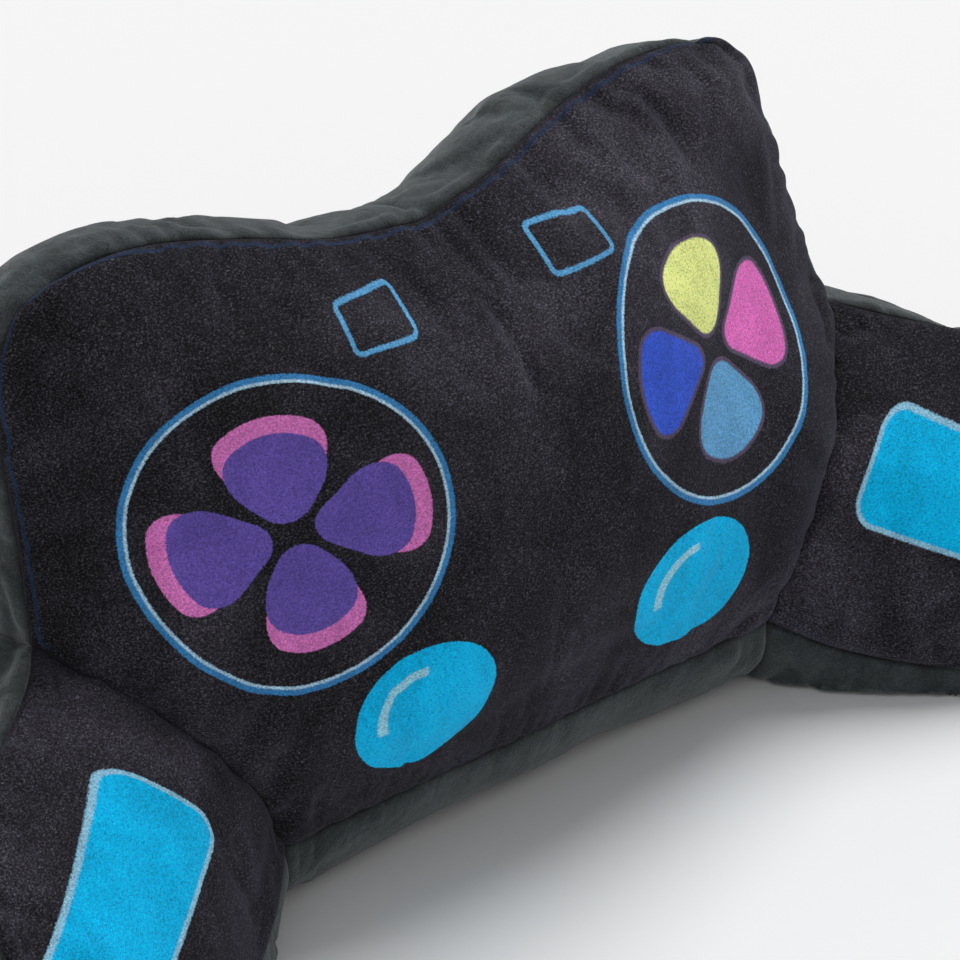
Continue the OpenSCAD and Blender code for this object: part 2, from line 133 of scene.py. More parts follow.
def sample(grid, at, axis=0):
    """Catmull-Rom values of a grid at fractional places along one axis."""
    g = np.moveaxis(np.asarray(grid, float), axis, 0)
    g = np.concatenate([[2 * g[0] - g[1]], g, [2 * g[-1] - g[-2]]])
    i = np.clip(np.floor(at).astype(int), 0, len(g) - 4)
    t = (at - i).reshape((-1,) + (1,) * (g.ndim - 1))
    a, b, c, d = g[i], g[i + 1], g[i + 2], g[i + 3]
    out = 0.5 * (2 * b + (c - a) * t + (2 * a - 5 * b + 4 * c - d) * t ** 2
                 + (3 * b - a - 3 * c + d) * t ** 3)
    return np.moveaxis(out, 0, axis)


def even(points, steps):
    """A smooth curve through the points, in equal steps."""
    curve = sample(points, np.linspace(0, len(points) - 1, 40 * len(points)))
    length = np.r_[0, np.cumsum(np.linalg.norm(np.diff(curve, axis=0), axis=1))]
    at = np.linspace(0, length[-1], steps + 1)
    return np.stack([np.interp(at, length, curve[:, i]) for i in range(curve.shape[1])], 1)


def coons(low, high, left, right):
    """Grid of rows from the low edge to the high edge that meets four edge curves."""
    u = np.linspace(0, 1, len(low))[None, :, None]
    v = np.linspace(0, 1, len(left))[:, None, None]
    corners = ((1 - u) * (1 - v) * low[0] + u * (1 - v) * low[-1]
               + (1 - u) * v * high[0] + u * v * high[-1])
    return (1 - v) * low[None] + v * high[None] + (1 - u) * left[:, None] + u * right[:, None] - corners


def grid_normals(grid, flip):
    across = np.gradient(grid, axis=1)
    along = np.gradient(grid, axis=0)
    return unit(np.cross(across, along)) * (-1 if flip else 1)


def shares(grid):
    """Share of the way along each row and each column of a grid."""
    v, u = np.meshgrid(np.linspace(0, 1, grid.shape[0]), np.linspace(0, 1, grid.shape[1]), indexing="ij")
    return u, v


def thin_plate(places, heights, grid):
    """Smooth surface through the heights at the places, read on a grid of places."""
    scale, softness = 100.0, 2e-3

    def kernel(a, b):
        r2 = ((a[:, None] - b[None]) ** 2).sum(-1) / scale ** 2
        return r2 * np.log(r2 + 1e-9) * 0.5

    n = len(places)
    system = np.zeros((n + 3, n + 3))
    system[:n, :n] = kernel(places, places) + np.eye(n) * softness
    system[:n, n:] = np.c_[np.ones(n), places / scale]
    system[n:, :n] = system[:n, n:].T
    weights = np.linalg.solve(system, np.r_[heights, np.zeros(3)])
    where = grid.reshape(-1, 2)
    value = kernel(where, places) @ weights[:n] + np.c_[np.ones(len(where)), where / scale] @ weights[n:]
    return value.reshape(grid.shape[:-1])


# Steps after which the lattice of random values repeats
LATTICE = 32


def noise(points, size, seed):
    """Smooth random values from -1 to 1 at points, with features of one size."""
    lattice = np.random.RandomState(seed).uniform(-1, 1, (LATTICE, LATTICE, LATTICE))
    p = points / size
    cell = np.floor(p).astype(int)
    f = p - cell
    f = f * f * (3 - 2 * f)
    total = 0
    for corner in itertools.product((0, 1), repeat=3):
        weight = np.prod(np.where(np.array(corner) == 1, f, 1 - f), -1)
        i = (cell + corner) % LATTICE
        total = total + weight * lattice[i[..., 0], i[..., 1], i[..., 2]]
    return total


# ---------- outline of the back: [half width, up the panel, forward of the seam plane] ----------
CORNER = [BASE_HALF, 0, 0]
WAIST = [WAIST_HALF, WAIST_UP, -22]
JUNCTION = [CORNER,
            [BASE_HALF + 0.25 * (WAIST_HALF - BASE_HALF), 0.34 * WAIST_UP, 21],
            [BASE_HALF + 0.6 * (WAIST_HALF - BASE_HALF), 0.67 * WAIST_UP, 15],
            WAIST]
SHOULDER = [WAIST_HALF - 40, HUMP_UP - 14, -14]
FLANK = [WAIST,
         [WAIST_HALF - 8, WAIST_UP + 0.28 * (HUMP_UP - WAIST_UP), -24],
         [WAIST_HALF - 13, WAIST_UP + 0.6 * (HUMP_UP - WAIST_UP), -23],
         [WAIST_HALF - 19, HUMP_UP - 38, -19],
         SHOULDER]
HUMP = [SHOULDER,
        [WAIST_HALF - 78, HUMP_UP - 1, -8],
        [WAIST_HALF - 118, HUMP_UP - 2, -4],
        [105, DIP_UP + 0.62 * (HUMP_UP - DIP_UP), 0],
        [52, DIP_UP + 0.2 * (HUMP_UP - DIP_UP), 5],
        [0, DIP_UP, 9]]


def lean_point(p):
    """From [across, up the panel, forward] to the object's own frame."""
    x, up, forward = p[..., 0], p[..., 1], p[..., 2]
    return np.stack([x, up * math.sin(LEAN) - forward * math.cos(LEAN) - SEAM_TO_MIDDLE,
                     SEAM_LIFT + up * math.cos(LEAN) + forward * math.sin(LEAN)], -1)


# Share of the front seam's wave that the back seam keeps
BACK_WAVE = 0.4


def back_point(p):
    """The back panel's plane behind a point of the front panel's plane."""
    flat = np.array(p, float) * [1, 1, BACK_WAVE]
    up = flat[..., 1]
    narrowed = smooth((up - WAIST_UP) / (DIP_UP - WAIST_UP))
    depth = BASE_DEPTH + (WAIST_DEPTH - BASE_DEPTH) * np.clip(up / WAIST_UP, 0, 1)
    depth = depth + (TOP_DEPTH - WAIST_DEPTH) * narrowed
    rise = BASE_RISE - (BASE_RISE + TOP_DROP) * np.sin(np.clip(up / FULL_DROP_UP, 0, 1) * math.pi / 2)
    return lean_point(flat) + np.stack([0 * up, depth, rise], -1)


shoulder_line = even(np.array(FLANK + HUMP[1:], float), 400)
turn = int(np.argmin(np.linalg.norm(shoulder_line - SHOULDER, axis=1)))
junction_flat = even(np.array(JUNCTION, float), JUNCTION_STEPS)
flank_flat = even(shoulder_line[:turn + 1], FLANK_STEPS)
hump_flat = even(shoulder_line[turn:], ACROSS_STEPS // 2)
side_flat = np.vstack([junction_flat, flank_flat[1:]])
top_flat = np.vstack([mirrored(hump_flat), hump_flat[-2::-1]])
base_flat = even(np.array([[-BASE_HALF, 0, 0], [0, 0, 0], [BASE_HALF, 0, 0]], float), ACROSS_STEPS)

# Crowns of the front and back panels for one half: [across, up, forward of the seam plane]
FRONT_CROWN = [[0, 62, 53], [0, 129, 76], [0, 190, 81], [0, 246, 68],
               [67, 266, 53], [91, 59, 50], [146, 126, 50], [146, 187, 48], [146, 246, 42], [150, 50, 34],
               [215, 187, 14], [212, 250, 6], [165, 302, 20]]
BACK_CROWN = [[0, 165, 36], [130, 205, 30], [130, 100, 28], [0, 60, 24], [0, 250, 30],
              [215, 180, 18], [170, 285, 20]]
# A panel rolls over this far inside its seam, and by this much
ROLL_IN = 18
FRONT_ROLL = 15
BACK_ROLL = 10


def crown(anchors, wave, roll):
    """Heights over the panel's grid: the seam's own, a roll-over just inside it, and the anchors'."""
    loop = np.vstack([base_flat[:-1], side_flat[:-1], top_flat[::-1][:-1], mirrored(side_flat[::-1])[:-1]])
    step = np.roll(loop, -1, 0) - np.roll(loop, 1, 0)
    inward = unit(np.stack([-step[:, 1], step[:, 0]], 1))
    loop, inward = loop[::3] * [1, 1, wave], inward[::3]
    ring = np.c_[loop[:, :2] + inward * ROLL_IN, loop[:, 2] + roll]
    known = np.array(anchors, float)
    known = np.vstack([loop, ring, known, mirrored(known[known[:, 0] > 0])])
    grid = coons(base_flat, top_flat, mirrored(side_flat), side_flat) * [1, 1, wave]
    height = thin_plate(known[:, :2], known[:, 2], grid[..., :2])
    grid[1:-1, 1:-1, 2] = height[1:-1, 1:-1]
    return grid


# ---------- panels ----------
panels = {}
# The panels of short printed plush. The others are of longer grey plush
PRINTED = ("front_panel", "right_arm_inner_panel", "left_arm_inner_panel")


def add_panel(name, grid, place, flip=False):
    """Stores a panel: its grid, the two coordinates its prints and folds are laid out in, its facing."""
    panels[name] = {"grid": grid, "place": place, "flip": flip}


def strip_place(grid):
    """Lengths along and across a strip."""
    along = np.r_[0, np.cumsum(np.linalg.norm(np.diff(grid[0], axis=0), axis=1))]
    across = np.r_[0, np.cumsum(np.linalg.norm(np.diff(grid[:, 0], axis=0), axis=1))]
    return np.stack(np.meshgrid(along, across), -1)


def make_back():
    front_flat = crown(FRONT_CROWN, 1.0, FRONT_ROLL)
    add_panel("front_panel", lean_point(front_flat), front_flat[..., :2])
    back_flat = crown(BACK_CROWN, 0.0, BACK_ROLL)
    wave = coons(base_flat, top_flat, mirrored(side_flat), side_flat)
    back = back_point(wave)
    back[..., 1] += back_flat[..., 2]
    add_panel("back_panel", back, back_flat[..., :2], flip=True)


def settled(grid):
    """Lowers the right hump a little, where the stuffing has settled."""
    share = np.clip((grid[..., 2] - SETTLED["from_z"]) / (SETTLED["to_z"] - SETTLED["from_z"]), 0, 1)
    near = np.exp(-((grid[..., 0] - SETTLED["at"]) / SETTLED["width"]) ** 2)
    grid = grid.copy()
    grid[..., 2] -= SETTLED["depth"] * share * near
    return grid


def bulge(grid, out, height, ease_left, ease_right):
    """Pushes the middle of a strip out, easing to nothing at its ends."""
    u, v = shares(grid)
    ease = smooth(np.clip(u / ease_left, 0, 1) * np.clip((1 - u) / ease_right, 0, 1))
    return grid + out * (height * ease * np.sin(math.pi * v) ** BULGE_POWER)[..., None]


def make_top_gusset():
    flat = np.vstack([mirrored(flank_flat), top_flat[1:-1], flank_flat[::-1]])
    u = np.linspace(0, 1, DEEP_STEPS + 1)[:, None, None]
    grid = lean_point(flat)[None] * (1 - u) + back_point(flat)[None] * u
    step = np.gradient(flat, axis=0)
    out = unit(np.stack([-step[:, 1], step[:, 0]], 1))
    out = np.stack([out[:, 0], out[:, 1] * math.sin(LEAN), out[:, 1] * math.cos(LEAN)], 1)
    height = np.interp(flat[:, 0], *np.array(TOP_BULGE, float).T)
    grid = bulge(grid, out[None], height, 0.06, 0.06)
    add_panel("top_gusset", grid, strip_place(grid))


# Section of the base from the front seam to the back seam: [back, height]
BASE_SECTION = [[0, SEAM_LIFT], [-1, 37], [3, 21], [13, 8], [28, 1], [52, 0], [BASE_DEPTH / 2, 0],
                [BASE_DEPTH - 50, 0], [BASE_DEPTH - 22, 3], [BASE_DEPTH - 3, 18], [BASE_DEPTH, 30],
                [BASE_DEPTH, SEAM_LIFT + 2]]


def base_section():
    curve = even(np.array(BASE_SECTION, float), DEEP_STEPS)
    return np.stack([0 * curve[:, 0], curve[:, 0] - SEAM_TO_MIDDLE, np.maximum(curve[:, 1], 0)], 1)


def make_bottom_gusset():
    grid = base_section()[:, None] + lean_point(base_flat)[None] * [1, 0, 0]
    add_panel("bottom_gusset", grid, strip_place(grid), flip=True)


# ---------- arms: [along the arm, out across it, height] ----------
INNER_LOW = [[172, 114, 29], [240, 117, 17], [305, 131, 20]]
INNER_END = [[305, 131, 20], [336, 154, 36], [343, 184, 66], [330, 212, 104], [300, 232, 133]]
INNER_HIGH = [[184, 236, 176], [250, 242, 157], [300, 232, 133]]
OUTER_LOW = [[80, 224, 12], [170, 211, 9], [270, 212, 11]]
OUTER_END = [[270, 212, 11], [318, 228, 19], [334, 254, 38], [318, 284, 66], [268, 312, 92]]
OUTER_HIGH = [[100, 346, 136], [190, 336, 116], [268, 312, 92]]
# How far each arm's print is shifted towards its root
PATCH_SHIFT = {"right": 12, "left": -5}


def arm_point(p):
    p = np.asarray(p, float)
    along, out, height = p[..., 0], p[..., 1], p[..., 2]
    return np.stack([along * math.cos(ARM_ANGLE) + out * math.sin(ARM_ANGLE),
                     out * math.cos(ARM_ANGLE) - along * math.sin(ARM_ANGLE) - SEAM_TO_MIDDLE, height], -1)


def arm_place(p):
    """Along the arm and height, where an arm's prints are laid out."""
    along = p[..., 0] * math.cos(ARM_ANGLE) - (p[..., 1] + SEAM_TO_MIDDLE) * math.sin(ARM_ANGLE)
    return np.stack([along, p[..., 2]], -1)


def arm_edges(root, low, end, high):
    """The low, end and high edges of an arm's panel from its root's corner and waist."""
    whole = np.vstack([root[:1], arm_point(low), arm_point(end[1:]), arm_point(high[-2::-1]), root[-1:]])
    curve = sample(whole, np.linspace(0, len(whole) - 1, 60 * (len(whole) - 1) + 1))
    first, last = 60 * len(low), 60 * (len(low) + len(end) - 1)
    return (even(curve[:first + 1], ARM_STEPS), even(curve[first:last + 1], JUNCTION_STEPS),
            even(curve[:last - 1:-1], ARM_STEPS))


def arm_panel(root, edges, height, flip, lean_down):
    low, end, high = edges
    grid = coons(low, high, root, end)
    u, v = shares(grid)
    v = v ** lean_down
    dome = (1 - np.abs(2 * u - 1) ** 2.6) * (1 - np.abs(2 * v - 1) ** 2.4)
    return grid + grid_normals(grid, flip) * (height * dome)[..., None]


def arm_gusset(front_root, back_root, inner, outer):
    """The strip round an arm's end, from the base's corner to the waist, sagging to the floor."""
    front_edge = np.vstack([inner[0], inner[1][1:], inner[2][-2::-1]])
    back_edge = np.vstack([outer[0], outer[1][1:], outer[2][-2::-1]])
    corner_end = base_section() + [BASE_HALF, 0, 0]
    share = np.linspace(0, 1, DEEP_STEPS + 1)[:, None]
    waist_end = front_root[-1] * (1 - share) + back_root[-1] * share
    grid = coons(front_edge, back_edge, corner_end, waist_end)
    grid = bulge(grid, grid_normals(grid, True), ARM_BULGE, 0.12, 0.1)
    u, v = shares(grid)
    ease = np.clip(u / 0.1, 0, 1) * np.clip((1 - u) / 0.1, 0, 1)
    low = np.clip(1 - grid[..., 2] / ARM_FOOT, 0, 1)
    grid[..., 2] -= ARM_SAG * ease * np.sin(math.pi * v) * low
    return grid


def make_arms():
    front_root = lean_point(junction_flat)
    back_root = back_point(junction_flat)
    inner = arm_edges(front_root, INNER_LOW, INNER_END, INNER_HIGH)
    outer = arm_edges(back_root, OUTER_LOW, OUTER_END, OUTER_HIGH)
    grids = {"inner_panel": arm_panel(front_root, inner, INNER_CROWN, False, INNER_CROWN_LOW),
             "outer_panel": arm_panel(back_root, outer, OUTER_CROWN, True, 1.0),
             "gusset": arm_gusset(front_root, back_root, inner, outer)}
    for part, points in grids.items():
        flip = part != "inner_panel"
        place = strip_place(points) if part == "gusset" else arm_place(points)
        add_panel("right_arm_" + part, points, place + [PATCH_SHIFT["right"], 0], flip)
        add_panel("left_arm_" + part, mirrored(points), place + [PATCH_SHIFT["left"], 0], not flip)


make_back()
make_top_gusset()
make_bottom_gusset()
make_arms()
for panel in panels.values():
    panel["grid"] = settled(panel["grid"])
    panel["grid"][..., 2] = np.maximum(panel["grid"][..., 2], FLOOR_LIFT)


# ---------- cloth simulation ----------
# The upright wall of the back panel that the zip is sewn to: behind here and below here
ZIP_WALL_BACK = 80
ZIP_WALL_TOP = 60
SIMULATED_FRAMES = 20


def grid_faces(rows, cols, first=0, flip=False):
    a = first + (np.arange(rows - 1)[:, None] * cols + np.arange(cols - 1)).ravel()
    quads = np.stack([a, a + 1, a + cols + 1, a + cols], 1)
    return quads[:, ::-1] if flip else quads


def zip_wall(grid):
    """1 on the upright wall that the zip is sewn to, and 0 away from it."""
    back = np.clip((grid[..., 1] - ZIP_WALL_BACK) / 12, 0, 1)
    return back * np.clip((ZIP_WALL_TOP - grid[..., 2]) / 8, 0, 1)


def make_cover(points):
    """One mesh of all the panels, with its seams in a vertex group."""
    faces, held, first = [], [], 0
    for p in panels.values():
        rows, cols = p["grid"].shape[:2]
        faces.append(grid_faces(rows, cols, first, p["flip"]))
        index = first + np.arange(rows * cols).reshape(rows, cols)
        held.append(np.r_[index[0], index[-1], index[:, 0], index[:, -1]])
        first += rows * cols
    mesh = bpy.data.meshes.new("cover")
    mesh.from_pydata((points * MM).tolist(), [], np.vstack(faces).tolist())
    cover = bpy.data.objects.new("cover", mesh)
    bpy.context.scene.collection.objects.link(cover)
    seams = cover.vertex_groups.new(name="seams")
    seams.add(np.unique(np.concatenate(held)).tolist(), 1.0, "REPLACE")
    return cover


def set_cloth(settings):
    settings.quality = 4
    settings.mass = 0.2
    settings.tension_stiffness = 20
    settings.compression_stiffness = 20
    settings.shear_stiffness = 6
    settings.bending_stiffness = 0.15
    settings.use_pressure = True
    settings.uniform_pressure_force = 3
    settings.shrink_min = -0.035
    settings.vertex_group_mass = "seams"
    settings.effector_weights.gravity = 0


def simulated_shift(points):
    """How far the filling moves each point of the cover, with the seams held."""
    cover = make_cover(points)
    set_cloth(cover.modifiers.new("Cloth", "CLOTH").settings)
    for number in range(1, SIMULATED_FRAMES + 1):
        bpy.context.scene.frame_set(number)
    shown = cover.evaluated_get(bpy.context.evaluated_depsgraph_get())
    moved = np.empty(len(points) * 3, np.float32)
    shown.data.vertices.foreach_get("co", moved)
    bpy.data.objects.remove(cover)
    bpy.context.scene.frame_set(1)
    return moved.reshape(-1, 3).astype(float) / MM - points


def swell():
    """Fills the cover: every panel swells and wrinkles between its seams."""
    points = np.vstack([p["grid"].reshape(-1, 3) for p in panels.values()])
    shift = simulated_shift(points)
    length = np.linalg.norm(shift, axis=1, keepdims=True)
    first = 0
    for name, p in panels.items():
        rows, cols = p["grid"].shape[:2]
        cap = SWELL_CAP.get(name, SWELL_CAP_ELSEWHERE)
        part = slice(first, first + rows * cols)
        move = shift[part] * cap * np.tanh(length[part] / cap) / np.maximum(length[part], 1e-9)
        move = move.reshape(rows, cols, 3)
        p["grid"] = p["grid"] + move * (1 - zip_wall(p["grid"]))[..., None]
        first += rows * cols


swell()


# ---------- finer grids, seams and folds ----------
# Place of the extra row beside a seam, as a share of a coarse step
NEAR_SEAM = 0.15


def fine_places(count):
    """Places of the finer rows, with one more close to the seam at each end."""
    inner = np.linspace(0, count - 1, FINER * (count - 1) + 1)
    return np.unique(np.r_[inner, NEAR_SEAM, count - 1 - NEAR_SEAM])


def seam_distance(grid):
    """Distance to the nearest edge along a row or column, and the place along that edge."""
    best, along = None, None
    rows, cols = grid.shape[:2]
    for axis, size in ((0, rows), (1, cols)):
        step = np.linalg.norm(np.diff(grid, axis=axis), axis=-1)
        pad = [(1, 0) if a == axis else (0, 0) for a in (0, 1)]
        from_start = np.pad(np.cumsum(step, axis), pad)
        from_end = np.take(from_start, [-1], axis) - from_start
        other = np.linalg.norm(np.diff(grid, axis=1 - axis), axis=-1)
        pad = [(1, 0) if a == 1 - axis else (0, 0) for a in (0, 1)]
        place = np.pad(np.cumsum(other, 1 - axis), pad)
        for offset, distance in ((1000, from_start), (5000, from_end)):
            start = np.take(place, [0 if offset == 1000 else -1], axis)
            lengthwise = np.broadcast_to(start, distance.shape) + offset * (1 + axis)
            if best is None:
                best, along = distance, lengthwise
            else:
                along = np.where(distance < best, lengthwise, along)
                best = np.minimum(best, distance)
    return best, along


def fold(place, centre, angle, length, width, depth):
    """A soft crease with a raised lip beside it, in a panel's own coordinates."""
    turn = math.radians(angle)
    x, y = place[..., 0] - centre[0], place[..., 1] - centre[1]
    a = x * math.cos(turn) + y * math.sin(turn)
    b = (y * math.cos(turn) - x * math.sin(turn)) - 0.12 * a * a / length
    along = np.exp(-(a / length) ** 2)
    crease = -np.exp(-(b / width) ** 2) + 0.6 * np.exp(-((b - 1.8 * width) / (1.3 * width)) ** 2)
    return depth * along * crease


# Folds of each panel: the middle, the angle in degrees, the length, the width and the depth
FOLDS = {
    "front_panel": [
        ((-226, 212), 6, 46, 7, 2.6), ((-214, 190), 2, 54, 7, 2.2), ((-150, 182), -4, 60, 8, 1.4),
        ((-236, 168), -4, 40, 7, 2.2), ((-215, 112), 24, 46, 8, 3.0), ((-196, 84), 36, 44, 8, 3.0),
        ((-178, 60), 50, 38, 7, 2.6), ((-230, 140), 12, 36, 7, 2.2),
        ((240, 112), -30, 40, 7, 2.0), ((206, 74), -44, 40, 7, 2.2), ((250, 176), 4, 24, 6, 1.4),
        ((0, 282), 90, 24, 9, 2.0), ((30, 40), 2, 60, 8, 1.4), ((-70, 30), -3, 50, 7, 1.2),
        ((238, 236), 70, 40, 6, 1.4), ((-236, 250), -72, 40, 6, 1.4)],
    "back_panel": [
        ((0, 276), 90, 40, 9, 2.6), ((-60, 40), 12, 60, 8, 2.0), ((90, 48), -10, 55, 8, 2.0),
        ((215, 120), -28, 50, 8, 2.4), ((-215, 118), 28, 50, 8, 2.4), ((236, 230), 80, 40, 7, 1.6)],
    "right_arm_inner_panel": [
        ((135, 110), 70, 30, 7, 2.2), ((170, 52), -20, 40, 7, 1.8), ((300, 90), 60, 30, 7, 1.6)],
    "left_arm_inner_panel": [
        ((130, 118), 64, 30, 7, 2.2), ((165, 60), -26, 40, 7, 1.8), ((298, 84), 70, 30, 7, 1.6)],
    "right_arm_outer_panel": [((110, 80), 80, 34, 8, 2.4), ((210, 60), 20, 40, 8, 1.8)],
    "left_arm_outer_panel": [((112, 76), 84, 34, 8, 2.4), ((205, 64), 16, 40, 8, 1.8)]}
# Beside a seam the cloth rises by PUFF over SEAM_REACH and falls again over PUFF_REACH
PUFF = 3.2
SEAM_REACH = 3.2
PUFF_REACH = 28
# The gathers along a seam
PUCKER = 0.7
PUCKER_SIZE = 8
PUCKER_REACH = 13
BODY_REACH = 10


def seam_height(edge, along):
    """The cloth's rise from a seam, with the small gathers that the stitches pull in."""
    rise = 1 - np.exp(-edge / SEAM_REACH)
    gathers = noise(np.stack([along, 0 * along, 0 * along], -1), PUCKER_SIZE, 3)
    height = PUFF * rise * np.exp(-edge / PUFF_REACH)
    return height + PUCKER * gathers * rise * np.exp(-edge / PUCKER_REACH)


def lumps(grid):
    """Uneven filling, in broad and in small lumps."""
    return 1.5 * noise(grid, 62, 5) + 0.7 * noise(grid * [1, 1, 1.6], 24, 6)


def clumps(grid, edge, body):
    """The crushed surface of the longer grey pile."""
    stretch = grid * [1, 1.4, 1]
    small = 0.3 * noise(stretch, 11, 7) + 0.12 * noise(stretch, 5.5, 8)
    dents = np.minimum(0, noise(grid * [1, 0.35, 1], 26, 9))
    return small * (1 - np.exp(-edge / SEAM_REACH)) + body * 0.7 * dents


def finish_grid(name, panel):
    """The shown grid of a panel, with its seams drawn in and its folds, lumps and clumps of pile."""
    grid, place = panel["grid"], panel["place"]
    for axis in (0, 1):
        at = fine_places(grid.shape[axis])
        grid, place = sample(grid, at, axis), sample(place, at, axis)
    edge, along = seam_distance(grid)
    normal = grid_normals(grid, panel["flip"])
    body = 1 - np.exp(-edge / BODY_REACH)
    height = seam_height(edge, along) + body * lumps(grid)
    for place_at, angle, length, width, depth in FOLDS.get(name, []):
        height = height + body * fold(place, place_at, angle, length, width, depth)
    if name not in PRINTED:
        height = height + clumps(grid, edge, body)
    height = height * (1 - zip_wall(grid))
    grid = grid + normal * height[..., None]
    lift = FLOOR_LIFT + (CLOTH_THICK if "arm" in name else 0)
    grid[..., 2] = np.maximum(grid[..., 2], lift)
    return grid, place, edge


def attribute(mesh, name, values):
    layer = mesh.attributes.new(name, "FLOAT_VECTOR", "POINT")
    layer.data.foreach_set("vector", values.astype(np.float32).ravel())


def make_mesh(name, points, faces):
    mesh = bpy.data.meshes.new(name)
    mesh.from_pydata((points * MM).tolist(), [], faces.tolist())
    mesh.polygons.foreach_set("use_smooth", [True] * len(mesh.polygons))
    piece = bpy.data.objects.new(name, mesh)
    bpy.context.scene.collection.objects.link(piece)
    return piece


def make_panel(name, panel):
    grid, place, edge = finish_grid(name, panel)
    rows, cols = edge.shape
    piece = make_mesh(name + "_cover", grid.reshape(-1, 3), grid_faces(rows, cols, 0, panel["flip"]))
    attribute(piece.data, "rest", grid * MM)
    attribute(piece.data, "place", np.concatenate([place, edge[..., None]], -1))
    shell = piece.modifiers.new("Thickness", "SOLIDIFY")
    shell.thickness = CLOTH_THICK * MM
    shell.offset = -1
    return piece


covers = {name: make_panel(name, panel) for name, panel in panels.items()}


# ---------- shader arithmetic ----------
class Number:
    """A number that changes over a surface, with arithmetic that makes Math nodes."""

    def __init__(self, tree, socket):
        self.tree = tree
        self.socket = socket

    def math(self, operation, *others, clamp=False):
        node = self.tree.nodes.new("ShaderNodeMath")
        node.operation = operation
        node.use_clamp = clamp
        for place, value in enumerate((self,) + others):
            if isinstance(value, Number):
                self.tree.links.new(value.socket, node.inputs[place])
            else:
                node.inputs[place].default_value = value
        return Number(self.tree, node.outputs[0])

    def __add__(self, other):
        return self.math("ADD", other)

    def __sub__(self, other):
        return self.math("SUBTRACT", other)

    def __mul__(self, other):
        return self.math("MULTIPLY", other)

    def __truediv__(self, other):
        return self.math("DIVIDE", other)

    def size(self):
        return self.math("ABSOLUTE")

    def most(self, other):
        return self.math("MAXIMUM", other)

    def clamped(self):
        return self.math("ADD", 0.0, clamp=True)

    def inside(self, soft=0.5):
        """1 where this distance is below 0 and 0 above it, with a soft edge."""
        return self.math("MULTIPLY_ADD", -1.0 / soft, 0.5, clamp=True)


def length_of(a, b):
    return (a * a + b * b).math("SQRT")


class Shader:
    """A material whose base colour is painted in layers."""

    def __init__(self, name, colour):
        self.material = bpy.data.materials.new(name)
        self.material.use_nodes = True
        self.tree = self.material.node_tree
        self.bsdf = self.tree.nodes["Principled BSDF"]
        first = self.tree.nodes.new("ShaderNodeRGB")
        first.outputs[0].default_value = hexed(colour)
        self.colour = first.outputs[0]

    def attribute(self, name):
        node = self.tree.nodes.new("ShaderNodeAttribute")
        node.attribute_name = name
        return node.outputs["Vector"]

    def axes(self, vector):
        node = self.tree.nodes.new("ShaderNodeSeparateXYZ")
        self.tree.links.new(vector, node.inputs[0])
        return [Number(self.tree, socket) for socket in node.outputs]

    def scaled(self, vector, scale):
        node = self.tree.nodes.new("ShaderNodeMapping")
        node.inputs["Scale"].default_value = scale
        self.tree.links.new(vector, node.inputs["Vector"])
        return node.outputs[0]

    def noise(self, vector, scale, detail=2.0, rough=0.5, distortion=0.0):
        node = self.tree.nodes.new("ShaderNodeTexNoise")
        self.tree.links.new(vector, node.inputs["Vector"])
        node.inputs["Scale"].default_value = scale
        node.inputs["Detail"].default_value = detail
        node.inputs["Roughness"].default_value = rough
        node.inputs["Distortion"].default_value = distortion
        return Number(self.tree, node.outputs["Fac"])

    def cells(self, vector, scale):
        node = self.tree.nodes.new("ShaderNodeTexVoronoi")
        self.tree.links.new(vector, node.inputs["Vector"])
        node.inputs["Scale"].default_value = scale
        return Number(self.tree, node.outputs["Distance"])

    def wave(self, vector, scale, direction="X", distortion=0.0):
        node = self.tree.nodes.new("ShaderNodeTexWave")
        node.bands_direction = direction
        self.tree.links.new(vector, node.inputs["Vector"])
        node.inputs["Scale"].default_value = scale
        node.inputs["Distortion"].default_value = distortion
        return Number(self.tree, node.outputs["Fac"])

    def paint(self, colour, mask, strength=1.0):
        """Lays a colour over what is there, where the mask is 1."""
        node = self.tree.nodes.new("ShaderNodeMix")
        node.data_type = "RGBA"
        mask = mask * strength if strength != 1.0 else mask
        self.tree.links.new(mask.socket, node.inputs["Factor"])
        self.tree.links.new(self.colour, node.inputs["A"])
        node.inputs["B"].default_value = hexed(colour)
        self.colour = node.outputs["Result"]

    def shade(self, factor):
        """Multiplies the colour by a number."""
        node = self.tree.nodes.new("ShaderNodeVectorMath")
        node.operation = "SCALE"
        self.tree.links.new(self.colour, node.inputs[0])
        self.tree.links.new(factor.socket, node.inputs["Scale"])
        self.colour = node.outputs[0]

    def bump(self, height, distance, strength=1.0, normal=None):
        node = self.tree.nodes.new("ShaderNodeBump")
        node.inputs["Distance"].default_value = distance
        node.inputs["Strength"].default_value = strength
        self.tree.links.new(height.socket, node.inputs["Height"])
        if normal is not None:
            self.tree.links.new(normal, node.inputs["Normal"])
        return node.outputs["Normal"]

    def finish(self, normal, rough, sheen=0.0, sheen_rough=0.5, sheen_tint=None, specular=0.5,
               metallic=0.0):
        links = self.tree.links
        links.new(self.colour, self.bsdf.inputs["Base Color"])
        links.new(normal, self.bsdf.inputs["Normal"])
        if isinstance(rough, Number):
            links.new(rough.socket, self.bsdf.inputs["Roughness"])
        else:
            self.bsdf.inputs["Roughness"].default_value = rough
        self.bsdf.inputs["Metallic"].default_value = metallic
        self.bsdf.inputs["Specular IOR Level"].default_value = specular
        self.bsdf.inputs["Sheen Weight"].default_value = sheen
        self.bsdf.inputs["Sheen Roughness"].default_value = sheen_rough
        if sheen_tint:
            self.bsdf.inputs["Sheen Tint"].default_value = hexed(sheen_tint)
        return self.material


